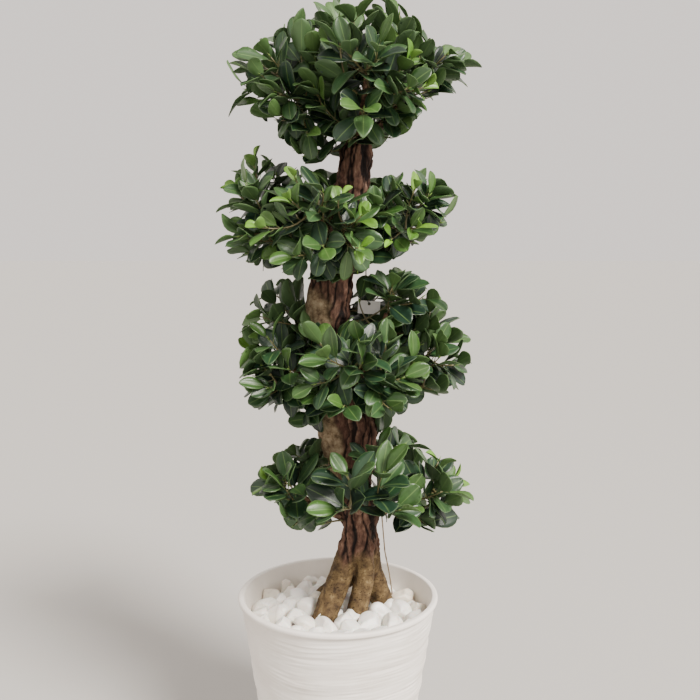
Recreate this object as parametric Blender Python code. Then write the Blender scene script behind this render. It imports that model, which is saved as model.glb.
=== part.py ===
"""A column ficus in a plain white planter, top-dressed with white stones.

The plant stands on three thick stems and one side root that grow together into a single
trunk. Limbs grafted along that trunk carry four tiers of leafy sprays. Metres, +Z up,
origin at the middle of the planter's underside. Heights of the plant are counted from
the planter's rim, so the plant stays seated when the planter's height changes.
"""
import math
import random

import bmesh
import bpy
from mathutils import Vector
from mathutils.bvhtree import BVHTree

CLEARANCE = 0.0003

# Planter
POT_HEIGHT = 0.280
RIM_RADIUS = 0.150
WALL_TAPER = 0.15
WALL = 0.0055
LIP_HEIGHT = 0.011
LIP_PROUD = 0.0035
FLOOR_THICKNESS = 0.008
DRAIN_COUNT = 5
DRAIN_RADIUS = 0.007
DRAIN_CIRCLE = 0.062
DRAIN_SIDES = 12
FOOT_ROUND = 0.003
GROOVE_HEIGHT = 0.002
LIP_UNDERCUT = 0.0008
LIP_OUTER_ROUND = 0.0012
LIP_CROWN = 0.0040
LIP_INNER_ROUND = 0.0015
LIP_INNER_DROP = 0.0020
POT_SIDES = 40

# Filling, as depths below the rim
STONE_DROP = 0.024
SOIL_DROP = 0.062
STONE_WIDTH = 0.034
STONE_RELIEF = 0.011
STONE_RINGS = 11
STONE_SECTORS = 6
STONE_ROW_PITCH = 0.87
STONE_SHIFT = 0.15
STONE_HALF_WIDTHS = (0.50, 0.62)

# Trunk, stems and grafts: across, towards the back, height above the rim, radius
TRUNK = (
    (0.030, 0.002, 0.058, 0.026),
    (0.033, 0.000, 0.111, 0.029),
    (0.016, 0.006, 0.185, 0.031),
    (0.000, 0.008, 0.245, 0.031),
    (-0.004, 0.004, 0.300, 0.031),
    (-0.010, 0.000, 0.368, 0.031),
    (-0.020, 0.000, 0.426, 0.030),
    (-0.010, 0.000, 0.475, 0.028),
    (0.004, 0.000, 0.535, 0.027),
    (0.018, 0.000, 0.592, 0.026),
    (0.027, 0.000, 0.641, 0.024),
    (0.028, 0.000, 0.694, 0.018),
)
STEMS = (
    ((0.024, -0.006, 0.100, 0.016), (0.005, -0.014, 0.032, 0.018),
     (-0.012, -0.024, -0.008, 0.0185), (-0.029, -0.036, -0.050, 0.018)),
    ((0.040, -0.010, 0.100, 0.015), (0.040, -0.014, 0.026, 0.0145),
     (0.031, -0.020, -0.008, 0.0155), (0.024, -0.024, -0.050, 0.016)),
    ((0.042, 0.008, 0.100, 0.017), (0.050, 0.014, 0.026, 0.0175),
     (0.062, 0.020, -0.010, 0.0175), (0.078, 0.026, -0.050, 0.015)),
    ((0.032, 0.014, 0.066, 0.014), (0.015, 0.022, 0.012, 0.014),
     (-0.020, 0.027, -0.012, 0.0125), (-0.052, 0.020, -0.042, 0.009)),
)
# Where the stems end in the soil: shares of its radius, height above the rim, radius
ROOT_ENDS = (
    (-0.27, -0.32, -0.110, 0.012), (0.18, -0.21, -0.110, 0.012),
    (0.67, 0.24, -0.110, 0.010), (-0.60, 0.20, -0.100, 0.007),
)
MIDDLE_GRAFT = (
    (0.026, -0.008, 0.150, 0.016), (0.033, -0.012, 0.200, 0.0235),
    (0.034, -0.014, 0.250, 0.0245), (0.028, -0.014, 0.288, 0.021),
    (0.020, -0.010, 0.330, 0.014),
)
UPPER_GRAFT = (
    (-0.010, -0.008, 0.370, 0.014), (-0.001, -0.014, 0.420, 0.021),
    (0.000, -0.014, 0.465, 0.0225), (0.004, -0.010, 0.510, 0.020),
    (0.010, -0.004, 0.560, 0.014),
)
OLD_CUT = (
    (-0.020, -0.004, 0.388, 0.014), (-0.030, -0.010, 0.422, 0.021),
    (-0.024, -0.008, 0.456, 0.014),
)
TRUNK_SIDES = 12
STEM_SIDES = 10

# Aerial root: down from the lowest right limb, through the stones and into the soil
AERIAL_ROOT_LIMB = "low_right"
AERIAL_ROOT_PLACE = 0.40
AERIAL_ROOT = ((0.071, 0.014, 0.058), (0.079, 0.036, 0.015), (0.084, 0.050, -0.020))
AERIAL_ROOT_END = (0.67, 0.43, -0.080)
AERIAL_ROOT_RADIUS = 0.0012

# Limbs: name, what carries them, height there, end, and the ends of their leafy shoots
LIMBS = (
    ("low_left", TRUNK, 0.112, (-0.056, -0.022, 0.158),
     ((-0.094, -0.034, 0.176), (-0.070, -0.082, 0.128))),
    ("low_right", TRUNK, 0.118, (0.112, -0.018, 0.152),
     ((0.168, -0.014, 0.166), (0.146, -0.066, 0.122))),
    ("low_front", TRUNK, 0.128, (0.034, -0.082, 0.158),
     ((-0.004, -0.122, 0.160), (0.080, -0.120, 0.166))),
    ("low_back", TRUNK, 0.136, (0.044, 0.084, 0.176),
     ((0.088, 0.112, 0.214), (-0.018, 0.120, 0.166))),
    ("middle_left", TRUNK, 0.300, (-0.070, -0.026, 0.352),
     ((-0.104, -0.020, 0.386), (-0.106, -0.066, 0.312))),
    ("middle_right", MIDDLE_GRAFT, 0.288, (0.108, -0.016, 0.352),
     ((0.160, -0.016, 0.376), (0.150, -0.060, 0.322))),
    ("middle_front", MIDDLE_GRAFT, 0.300, (0.030, -0.088, 0.352),
     ((-0.026, -0.124, 0.360), (0.088, -0.122, 0.350))),
    ("middle_back", TRUNK, 0.330, (0.024, 0.088, 0.376),
     ((-0.034, 0.124, 0.392), (0.082, 0.120, 0.370))),
    ("middle_upright", MIDDLE_GRAFT, 0.322, (0.070, -0.030, 0.424),
     ((0.098, -0.026, 0.462),)),
    ("upper_left", UPPER_GRAFT, 0.506, (-0.100, -0.006, 0.566),
     ((-0.146, -0.014, 0.592), (-0.112, 0.034, 0.634), (-0.136, -0.064, 0.538))),
    ("upper_front", UPPER_GRAFT, 0.494, (-0.020, -0.088, 0.552),
     ((-0.066, -0.126, 0.572), (0.034, -0.130, 0.566))),
    ("upper_right", UPPER_GRAFT, 0.518, (0.096, -0.012, 0.562),
     ((0.138, -0.008, 0.598), (0.116, -0.078, 0.548))),
    ("upper_back", TRUNK, 0.534, (0.022, 0.086, 0.572),
     ((-0.038, 0.122, 0.586), (0.092, 0.104, 0.566))),
    ("crown_left", TRUNK, 0.664, (-0.056, -0.014, 0.744),
     ((-0.116, -0.016, 0.768), (-0.076, -0.056, 0.694), (-0.062, 0.036, 0.806))),
    ("crown_right", TRUNK, 0.672, (0.114, -0.010, 0.752),
     ((0.176, -0.008, 0.772), (0.124, 0.056, 0.790))),
    ("crown_front", TRUNK, 0.656, (0.040, -0.078, 0.744),
     ((0.000, -0.116, 0.762), (0.094, -0.106, 0.782))),
    ("crown_back", TRUNK, 0.680, (0.028, 0.062, 0.770),
     ((0.030, 0.016, 0.834), (-0.014, 0.116, 0.776), (0.088, 0.108, 0.764))),
)
LIMB_RADIUS = 0.0085
LIMB_END_RADIUS = 0.0036
LIMB_SIDES = 6
LIMB_STRETCHES = 6
LIMB_BEND_SHARE = 0.55
LIMB_BEND_RISE = 0.18
SHOOT_PLACES = (1.0, 0.80, 0.62)

# Leafy shoots
SHOOT_RADIUS = 0.0026
SHOOT_END_RADIUS = 0.0011
SHOOT_SIDES = 4
SHOOT_BEND_SHARE = 0.4
LEAF_TURNS = (0, 2, 1, 3)
LEAVES_PER_SHOOT = 8
LEAF_LENGTH = 0.046
LEAF_WIDTH = 0.027
LEAF_THICKNESS = 0.0010
LEAF_LENGTH_RANGE = (0.80, 1.05)
LEAF_WIDTH_RANGE = (0.85, 1.05)
LEAF_SAG = 0.16
LEAF_OUTWARD = 0.9
LEAF_FORWARD = 0.75
PETIOLE = 0.009
PETIOLE_WIDTH = 0.0016
BLADE_ROWS = ((0.10, 0.40), (0.60, 1.00), (1.00, 0.36))
LEAF_ROOM = 0.0016
LEAF_TRIES = 60
LEAST_LEAN = 0.35
LEAST_FACE = 0.45
SEED = 39

# Blank plant tag on a long loop of wire round a limb
TAG_WIDTH = 0.032
TAG_HEIGHT = 0.019
TAG_THICKNESS = 0.0008
TAG_HOLE_RADIUS = 0.0022
TAG_LIMB = "upper_right"
TAG_PLACE = 0.35
TAG_TURN = math.radians(26.0)
TIE_DROP = 0.075
TIE_SLACK = 0.0052
TIE_STEPS = 28
TIE_WIRE_RADIUS = 0.0006

GREENS = ((0.030, 0.085, 0.028), (0.040, 0.110, 0.032), (0.055, 0.140, 0.036))


def clear_objects():
    for old in list(bpy.data.objects):
        bpy.data.objects.remove(old, do_unlink=True)


def finish(name, color, roughness, metallic=0.0):
    """One Principled material with the piece's plain colour."""
    material = bpy.data.materials.new(name)
    material.use_nodes = True
    shader = material.node_tree.nodes["Principled BSDF"]
    shader.inputs["Base Color"].default_value = (*color, 1.0)
    shader.inputs["Roughness"].default_value = roughness
    shader.inputs["Metallic"].default_value = metallic
    return material


def add_object(name, bm, material, guide=False):
    """Turn a bmesh into a named object; a guide is only there for the Booleans."""
    bmesh.ops.recalc_face_normals(bm, faces=bm.faces[:])
    mesh = bpy.data.meshes.new(name)
    bm.to_mesh(mesh)
    bm.free()
    mesh.materials.append(material)
    piece = bpy.data.objects.new(name, mesh)
    bpy.context.scene.collection.objects.link(piece)
    if guide:
        piece.hide_render = True
        piece.display_type = "WIRE"
    return piece


def add_boolean(piece, other, operation):
    modifier = piece.modifiers.new(other.name, "BOOLEAN")
    modifier.operation = operation
    modifier.solver = "EXACT"
    modifier.object = other


def on_rim(point):
    """A point of the plant, whose height is counted from the rim."""
    return Vector((point[0], point[1], POT_HEIGHT + point[2]))


def curve_points(start, control, end, count):
    """Points along a quadratic curve that starts towards the control point."""
    points = []
    for step in range(count + 1):
        share = step / count
        rest = 1.0 - share
        points.append(start * rest * rest + control * 2.0 * rest * share + end * share * share)
    return points


def ring_frames(points, axis=None):
    """Tangent and two cross directions at each point, turned as little as possible."""
    frames = []
    across = None
    last = len(points) - 1
    for index, _ in enumerate(points):
        tangent = (points[min(index + 1, last)] - points[max(index - 1, 0)]).normalized()
        if index == 0 and axis is not None:
            tangent = axis.normalized()
        if across is None:
            across = tangent.orthogonal().normalized()
        across = (across - tangent * across.dot(tangent)).normalized()
        frames.append((tangent, across, tangent.cross(across)))
    return frames


def add_tube(bm, points, radii, sides, axis=None):
    """A capped tapering tube; returns its side faces, one list for each stretch."""
    rings = []
    for point, radius, frame in zip(points, radii, ring_frames(points, axis)):
        ring = []
        for side in range(sides):
            angle = 2.0 * math.pi * side / sides
            offset = frame[1] * math.cos(angle) + frame[2] * math.sin(angle)
            ring.append(bm.verts.new(point + offset * radius))
        rings.append(ring)
    stretches = []
    for low, high in zip(rings, rings[1:]):
        stretch = []
        for side in range(sides):
            after = (side + 1) % sides
            stretch.append(bm.faces.new((low[side], low[after], high[after], high[side])))
        stretches.append(stretch)
    bm.faces.new(rings[0][::-1])
    bm.faces.new(rings[-1])
    return stretches


def tapered(first, last, count):
    return [first + (last - first) * step / count for step in range(count + 1)]


def wall_radius(height, inset=0.0):
    """Outer radius of the planter's wall at a height, less an inset."""
    top = RIM_RADIUS - LIP_PROUD
    return top - WALL_TAPER * (POT_HEIGHT - height) - inset


def spin_profile(profile, sides):
    """A solid of revolution round Z from (radius, height) points that meet the axis."""
    bm = bmesh.new()
    verts = [bm.verts.new((radius, 0.0, height)) for radius, height in profile]
    edges = [bm.edges.new(pair) for pair in zip(verts, verts[1:])]
    bmesh.ops.spin(bm, geom=verts + edges, cent=(0, 0, 0), axis=(0, 0, 1),
                   angle=2.0 * math.pi, steps=sides, use_merge=True)
    bmesh.ops.remove_doubles(bm, verts=bm.verts[:], dist=1e-6)
    return bm


def make_drain_cutter():
    bm = bmesh.new()
    for hole in range(DRAIN_COUNT):
        angle = 2.0 * math.pi * hole / DRAIN_COUNT
        made = bmesh.ops.create_cone(bm, cap_ends=True, segments=DRAIN_SIDES,
                                     radius1=DRAIN_RADIUS, radius2=DRAIN_RADIUS,
                                     depth=4.0 * FLOOR_THICKNESS)
        place = (DRAIN_CIRCLE * math.cos(angle), DRAIN_CIRCLE * math.sin(angle), 0.0)
        bmesh.ops.translate(bm, verts=made["verts"], vec=place)
    return add_object("drain_cutter", bm, finish("cutter", (0.8, 0.1, 0.1), 0.5), guide=True)


def make_pot():
    """Conical planter with a rounded lip standing proud of a shallow groove."""
    under_lip = POT_HEIGHT - LIP_HEIGHT
    inner_top = RIM_RADIUS - LIP_PROUD - WALL
    profile = (
        (0.0, 0.0),
        (wall_radius(0.0) - FOOT_ROUND, 0.0),
        (wall_radius(FOOT_ROUND), FOOT_ROUND),
        (wall_radius(under_lip - GROOVE_HEIGHT), under_lip - GROOVE_HEIGHT),
        (RIM_RADIUS - LIP_UNDERCUT, under_lip),
        (RIM_RADIUS, POT_HEIGHT - 0.5 * LIP_HEIGHT),
        (RIM_RADIUS - LIP_OUTER_ROUND, POT_HEIGHT - LIP_OUTER_ROUND),
        (RIM_RADIUS - LIP_CROWN, POT_HEIGHT),
        (inner_top + LIP_INNER_ROUND, POT_HEIGHT),
        (inner_top, POT_HEIGHT - LIP_INNER_DROP),
        (wall_radius(FLOOR_THICKNESS, WALL), FLOOR_THICKNESS),
        (0.0, FLOOR_THICKNESS),
    )
    bm = spin_profile(profile, POT_SIDES)
    pot = add_object("pot", bm, finish("planter_white", (0.80, 0.78, 0.74), 0.55))
    add_boolean(pot, make_drain_cutter(), "DIFFERENCE")
    return pot


def inside_radius(height):
    """Radius that clears the faceted inner wall at a height."""
    flat = math.cos(math.pi / POT_SIDES)
    return wall_radius(height, WALL) * flat - CLEARANCE


def make_soil(cutters):
    bottom = FLOOR_THICKNESS + CLEARANCE
    top = POT_HEIGHT - SOIL_DROP
    profile = ((0.0, bottom), (inside_radius(bottom), bottom), (inside_radius(top), top),
               (0.0, top))
    bm = spin_profile(profile, POT_SIDES)
    soil = add_object("soil", bm, finish("potting_soil", (0.035, 0.022, 0.014), 0.95))
    for cutter in cutters:
        add_boolean(soil, cutter, "DIFFERENCE")
    return soil


def stone_height(x, y, stones):
    """Height of the rounded stones above the layer's valleys at one place."""
    best = 0.0
    for stone_x, stone_y, half_width in stones:
        share = math.hypot(x - stone_x, y - stone_y) / half_width
        if share < 1.0:
            best = max(best, STONE_RELIEF * math.sqrt(1.0 - share * share))
    return best


def make_stone_layer(cutters):
    """The top dressing as one closed layer whose upper side is rounded stones."""
    rng = random.Random(SEED)
    top = POT_HEIGHT - STONE_DROP - STONE_RELIEF
    bottom = POT_HEIGHT - SOIL_DROP + CLEARANCE
    top_radius = inside_radius(top)
    row_pitch = STONE_ROW_PITCH * STONE_WIDTH
    rows = int(2.0 * top_radius / row_pitch) + 1
    stones = []
    for row in range(-rows, rows + 1):
        for column in range(-rows, rows + 1):
            shift_x = rng.uniform(-STONE_SHIFT, STONE_SHIFT) * STONE_WIDTH
            shift_y = rng.uniform(-STONE_SHIFT, STONE_SHIFT) * STONE_WIDTH
            x = (column + 0.5 * (row % 2)) * STONE_WIDTH + shift_x
            y = row * row_pitch + shift_y
            stones.append((x, y, STONE_WIDTH * rng.uniform(*STONE_HALF_WIDTHS)))
    bm = bmesh.new()
    rings = [[bm.verts.new((0.0, 0.0, top + stone_height(0.0, 0.0, stones)))]]
    for ring_index in range(1, STONE_RINGS + 1):
        radius = top_radius * ring_index / STONE_RINGS
        ring = []
        count = STONE_SECTORS * ring_index
        for step in range(count):
            angle = 2.0 * math.pi * step / count
            x = radius * math.cos(angle)
            y = radius * math.sin(angle)
            rise = stone_height(x, y, stones) if ring_index < STONE_RINGS else 0.0
            ring.append(bm.verts.new((x, y, top + rise)))
        rings.append(ring)
    add_disc_faces(bm, rings)
    edge = rings[-1]
    base = [bm.verts.new((v.co.x * inside_radius(bottom) / top_radius,
                          v.co.y * inside_radius(bottom) / top_radius, bottom)) for v in edge]
    for index, vert in enumerate(edge):
        after = (index + 1) % len(edge)
        bm.faces.new((vert, edge[after], base[after], base[index]))
    bm.faces.new(base)
    layer = add_object("stone_layer", bm, finish("white_stone", (0.82, 0.81, 0.78), 0.45))
    for cutter in cutters:
        add_boolean(layer, cutter, "DIFFERENCE")
    return layer


def add_disc_faces(bm, rings):
    """Triangles between rings of 6, 12, 18 ... points round a middle point."""
    for inner_index in range(STONE_RINGS):
        inner = rings[inner_index]
        outer = rings[inner_index + 1]
        for sector in range(STONE_SECTORS):
            for step in range(inner_index + 1):
                low = outer[(sector * (inner_index + 1) + step) % len(outer)]
                high = outer[(sector * (inner_index + 1) + step + 1) % len(outer)]
                near = inner[(sector * inner_index + step) % len(inner)]
                bm.faces.new((low, high, near))
                if step < inner_index:
                    beside = inner[(sector * inner_index + step + 1) % len(inner)]
                    bm.faces.new((near, high, beside))


def in_soil(end):
    """A point under the rim, from shares of the soil's radius at its height."""
    reach = inside_radius(POT_HEIGHT + end[2])
    return (end[0] * reach, end[1] * reach) + end[2:]


def all_wood():
    """Stations of the trunk, its stems down to their ends, and what is grafted on it."""
    stems = tuple(stem + (in_soil(end),) for stem, end in zip(STEMS, ROOT_ENDS))
    return (TRUNK,) + stems + (MIDDLE_GRAFT, UPPER_GRAFT, OLD_CUT)


def build_trunk(name, material, grow, guide):
    """Trunk with its stems and grafts; grow makes the fatter copy that cuts neighbours."""
    parts = []
    for index, stations in enumerate(all_wood()):
        points = [on_rim(station) for station in stations]
        radii = [station[3] + grow for station in stations]
        points[0] -= (points[1] - points[0]).normalized() * grow
        points[-1] += (points[-1] - points[-2]).normalized() * grow
        bm = bmesh.new()
        add_tube(bm, points, radii, TRUNK_SIDES if index == 0 else STEM_SIDES)
        helper = index > 0 or guide
        part_name = name if index == 0 else f"{name}_join_{index}"
        parts.append(add_object(part_name, bm, material, guide=helper))
    for stem in parts[1:]:
        add_boolean(parts[0], stem, "UNION")
    return parts[0]


def wood_axis(stations, height):
    """Middle of a trunk or a graft at a height above the rim."""
    for low, high in zip(stations, stations[1:]):
        if height <= high[2]:
            share = (height - low[2]) / (high[2] - low[2])
            return on_rim(low).lerp(on_rim(high), share)
    return on_rim(stations[-1])


def limb_course(host, height, end):
    """Points of a limb that leaves its host nearly level and rises to its end."""
    start = wood_axis(host, height)
    tip = on_rim(end)
    control = start.lerp(tip, LIMB_BEND_SHARE)
    control.z = start.z + LIMB_BEND_RISE * (tip.z - start.z)
    return curve_points(start, control, tip, LIMB_STRETCHES)


def limb_radius(share):
    return LIMB_RADIUS + (LIMB_END_RADIUS - LIMB_RADIUS) * share


def make_limb(name, points, material, cutter):
    bm = bmesh.new()
    add_tube(bm, points, tapered(LIMB_RADIUS, LIMB_END_RADIUS, len(points) - 1), LIMB_SIDES)
    limb = add_object(f"{name}_limb", bm, material)
    add_boolean(limb, cutter, "DIFFERENCE")
    return limb


def along(points, share):
    """Place and direction at a share of a course of points."""
    reach = share * (len(points) - 1)
    index = min(int(reach), len(points) - 2)
    step = points[index + 1] - points[index]
    return points[index] + step * (reach - index), step.normalized()


def shoot_course(points, share, tip):
    """A shoot that starts square to its limb, clear of it, and bends to its tip."""
    place, direction = along(points, share)
    outward = direction
    if share < 1.0:
        aim = (tip - place).normalized()
        outward = (aim - direction * aim.dot(direction)).normalized()
        place = place + outward * limb_radius(share)
    base = place + outward * CLEARANCE
    control = base + outward * SHOOT_BEND_SHARE * (tip - base).length
    return curve_points(base, control, tip, LEAVES_PER_SHOOT + 1), outward


def leaf_rows(root, direction, normal, length, width, room):
    """Four-cornered cross-sections of a leaf from the petiole's end to its tip."""
    side = normal.cross(direction).normalized()
    rows = []
    for share, breadth in BLADE_ROWS:
        sag = normal * (-LEAF_SAG * length * share * share)
        middle = root + direction * (PETIOLE + length * share) + sag
        half = side * (0.5 * width * breadth + room)
        thick = normal * (0.5 * LEAF_THICKNESS + room)
        rows.append((middle - half - thick, middle + half - thick,
                     middle + half + thick, middle - half + thick))
    return rows


def leaf_probe(root, direction, normal, length, width):
    """A slightly larger leaf, used only to see whether the place is free."""
    start = root + direction * 0.3 * PETIOLE
    side = normal.cross(direction).normalized() * PETIOLE_WIDTH
    thick = normal * PETIOLE_WIDTH
    first = (start - side - thick, start + side - thick, start + side + thick,
             start - side + thick)
    rows = [first] + leaf_rows(root, direction, normal, length, width, LEAF_ROOM)
    points = [corner for row in rows for corner in row]
    faces = [(3, 2, 1, 0)]
    for row in range(len(rows) - 1):
        for corner in range(4):
            after = (corner + 1) % 4
            faces.append((4 * row + corner, 4 * row + after, 4 * row + 4 + after,
                          4 * row + 4 + corner))
    last = 4 * len(rows) - 4
    faces.append((last, last + 1, last + 2, last + 3))
    return BVHTree.FromPolygons([tuple(point) for point in points], faces)


def is_free(probe, solids):
    return not any(probe.overlap(solid) for solid in solids)


def grow_leaf(bm, face, root, direction, normal, length, width):
    """Extrude one side face of the shoot into a petiole and a blade."""
    for row in leaf_rows(root, direction, normal, length, width, 0.0):
        made = bmesh.ops.extrude_discrete_faces(bm, faces=[face])
        face = made["faces"][0]
        for vert, place in zip(face.verts, row):
            vert.co = place


def outward_up(point, tip_direction):
    """Where leaves turn their faces: upwards and a little away from the trunk."""
    away = Vector((point.x - TRUNK[4][0], point.y, 0.0))
    return (Vector((0.0, 0.0, 1.0)) + away * 3.0 + tip_direction * 0.5).normalized()


def make_spray(name, points, axis, solids, material, rng):
    """One leafy shoot: a stem whose leaves stand around it in turn."""
    bm = bmesh.new()
    radii = tapered(SHOOT_RADIUS, SHOOT_END_RADIUS, len(points) - 1)
    stretches = add_tube(bm, points, radii, SHOOT_SIDES, axis)
    bm.faces.ensure_lookup_table()
    turn = rng.randrange(SHOOT_SIDES)
    for index, stretch in enumerate(stretches[1:]):
        face = stretch[(turn + LEAF_TURNS[index % SHOOT_SIDES]) % SHOOT_SIDES]
        root = face.calc_center_median()
        tangent = (points[index + 2] - points[index + 1]).normalized()
        outward = (root - (points[index + 2] + points[index + 1]) * 0.5).normalized()
        for attempt in range(LEAF_TRIES):
            loose = 0.15 + 0.55 * attempt / LEAF_TRIES
            lean = Vector([rng.uniform(-loose, loose) for _ in range(3)])
            direction = (outward * LEAF_OUTWARD + tangent * LEAF_FORWARD + lean).normalized()
            normal = outward_up(root, tangent) + tangent * 0.5
            normal = (normal - direction * normal.dot(direction)).normalized()
            length = LEAF_LENGTH * rng.uniform(*LEAF_LENGTH_RANGE)
            width = LEAF_WIDTH * rng.uniform(*LEAF_WIDTH_RANGE)
            probe = leaf_probe(root, direction, normal, length, width)
            straight = direction.dot(outward) > LEAST_LEAN and normal.dot(tangent) > LEAST_FACE
            if straight and is_free(probe, solids):
                solids.append(probe)
                grow_leaf(bm, face, root, direction, normal, length, width)
                break
    return add_object(name, bm, material)


def aerial_root_points():
    """From just under its limb, straight down in a slight bow."""
    for name, host, height, end, _ in LIMBS:
        if name == AERIAL_ROOT_LIMB:
            place, _ = along(limb_course(host, height, end), AERIAL_ROOT_PLACE)
    below = limb_radius(AERIAL_ROOT_PLACE) + 2.0 * CLEARANCE
    top = place - Vector((0.0, 0.0, below))
    return [top] + [on_rim(point) for point in AERIAL_ROOT + (in_soil(AERIAL_ROOT_END),)]


def make_aerial_root(name, material, grow, guide):
    points = aerial_root_points()
    points[-1] += (points[-1] - points[-2]).normalized() * grow
    bm = bmesh.new()
    down = Vector((0.0, 0.0, -1.0))
    add_tube(bm, points, [AERIAL_ROOT_RADIUS + grow] * len(points), LIMB_SIDES, down)
    return add_object(name, bm, material, guide=guide)


def make_tag(place, limb_direction):
    """A blank plastic tag that hangs from a long wire loop round a limb."""
    down = Vector((0.0, 0.0, -1.0))
    down = (down - limb_direction * down.dot(limb_direction)).normalized()
    across = down.cross(limb_direction).normalized()
    tie_radius = limb_radius(TAG_PLACE) + TIE_WIRE_RADIUS + TIE_SLACK
    centre = place + down * (TIE_SLACK - CLEARANCE)
    level = Vector((0.0, 0.0, 0.0))
    drop = Vector((0.0, 0.0, -TIE_DROP))
    bm = bmesh.new()
    rings = []
    for step in range(TIE_STEPS):
        angle = 2.0 * math.pi * step / TIE_STEPS
        spoke = down * math.cos(angle) + across * math.sin(angle)
        ring = []
        for corner in range(LIMB_SIDES):
            turn = 2.0 * math.pi * corner / LIMB_SIDES
            offset = spoke * math.cos(turn) + limb_direction * math.sin(turn)
            bend = centre + spoke * tie_radius + (drop if math.cos(angle) > 0.0 else level)
            ring.append(bm.verts.new(bend + offset * TIE_WIRE_RADIUS))
        rings.append(ring)
    for index, ring in enumerate(rings):
        after = rings[(index + 1) % TIE_STEPS]
        for corner in range(LIMB_SIDES):
            beside = (corner + 1) % LIMB_SIDES
            bm.faces.new((ring[corner], ring[beside], after[beside], after[corner]))
    add_object("tag_tie", bm, finish("tie_wire", (0.75, 0.75, 0.72), 0.4))
    turned_side = limb_direction * math.cos(TAG_TURN) + down * math.sin(TAG_TURN)
    turned_down = down * math.cos(TAG_TURN) - limb_direction * math.sin(TAG_TURN)
    make_tag_plate(centre + down * tie_radius + drop, turned_down, across, turned_side)


def make_tag_plate(hole, down, normal, side):
    """The plate with its hole, outlined once and given a thickness both ways."""
    margin = 2.0 * TAG_HOLE_RADIUS
    corners = [hole + side * sign * 0.5 * TAG_WIDTH + down * drop
               for sign, drop in ((-1, -margin), (-1, TAG_HEIGHT - margin),
                                  (1, TAG_HEIGHT - margin), (1, -margin))]
    bm = bmesh.new()
    half = normal * 0.5 * TAG_THICKNESS
    back = [bm.verts.new(corner - half) for corner in corners]
    front = [bm.verts.new(corner + half) for corner in corners]
    bm.faces.new(back[::-1])
    bm.faces.new(front)
    for index in range(4):
        after = (index + 1) % 4
        bm.faces.new((back[index], back[after], front[after], front[index]))
    plate = add_object("plant_tag", bm, finish("tag_plastic", (0.85, 0.85, 0.83), 0.35))
    cutter = bmesh.new()
    reach = normal * 5.0 * TAG_THICKNESS
    add_tube(cutter, [hole - reach, hole + reach], [TAG_HOLE_RADIUS] * 2, DRAIN_SIDES)
    guide = add_object("tag_hole_cutter", cutter, finish("hole", (0.8, 0.1, 0.1), 0.5), True)
    add_boolean(plate, guide, "DIFFERENCE")


def tube_tree(points, radii, sides, axis=None):
    bm = bmesh.new()
    add_tube(bm, points, radii, sides, axis)
    tree = BVHTree.FromBMesh(bm)
    bm.free()
    return tree


def make_plant():
    """Trunk, limbs and sprays; every leaf keeps clear of all that stands already."""
    bark = finish("bark", (0.085, 0.058, 0.036), 0.85)
    build_trunk("trunk", bark, 0.0, guide=False)
    trunk_cutter = build_trunk("trunk_clearance", bark, CLEARANCE, guide=True)
    root_bark = finish("root_bark", (0.22, 0.14, 0.08), 0.8)
    make_aerial_root("aerial_root", root_bark, 0.0, guide=False)
    root_cutter = make_aerial_root("root_clearance", root_bark, CLEARANCE, guide=True)
    solids = []
    for stations in all_wood():
        solids.append(tube_tree([on_rim(s) for s in stations],
                                [s[3] + LEAF_ROOM for s in stations], STEM_SIDES))
    root = aerial_root_points()
    solids.append(tube_tree(root, [AERIAL_ROOT_RADIUS + LEAF_ROOM] * len(root), LIMB_SIDES))
    limb_wood = finish("limb_bark", (0.13, 0.09, 0.055), 0.8)
    plans = []
    for name, host, height, end, tips in LIMBS:
        points = limb_course(host, height, end)
        make_limb(name, points, limb_wood, trunk_cutter)
        radii = tapered(LIMB_RADIUS, LIMB_END_RADIUS, len(points) - 1)
        solids.append(tube_tree(points, radii, LIMB_SIDES))
        if name == TAG_LIMB:
            make_tag(*along(points, TAG_PLACE))
        for index, (share, tip) in enumerate(zip(SHOOT_PLACES, tips)):
            course, axis = shoot_course(points, share, on_rim(tip))
            shoot_radii = tapered(SHOOT_RADIUS, SHOOT_END_RADIUS, len(course) - 1)
            solids.append(tube_tree(course, shoot_radii, SHOOT_SIDES, axis))
            plans.append((f"{name}_spray_{index + 1}", course, axis))
    for piece in ("plant_tag", "tag_tie"):
        solids.append(mesh_tree(bpy.data.objects[piece].data))
    rng = random.Random(SEED)
    leaf_finishes = [finish(f"leaf_green_{index}", color, 0.35)
                     for index, color in enumerate(GREENS)]
    for index, (name, course, axis) in enumerate(plans):
        make_spray(name, course, axis, solids, leaf_finishes[index % len(GREENS)], rng)
    return trunk_cutter, root_cutter


def mesh_tree(mesh):
    points = [tuple(vert.co) for vert in mesh.vertices]
    return BVHTree.FromPolygons(points, [tuple(face.vertices) for face in mesh.polygons])


clear_objects()
wood_cutters = make_plant()
make_pot()
make_soil(wood_cutters)
make_stone_layer(wood_cutters)
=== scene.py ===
import math
import random

import bmesh
import bpy
import numpy as np
from mathutils import Matrix, Vector, noise
from mathutils.bvhtree import BVHTree


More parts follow.
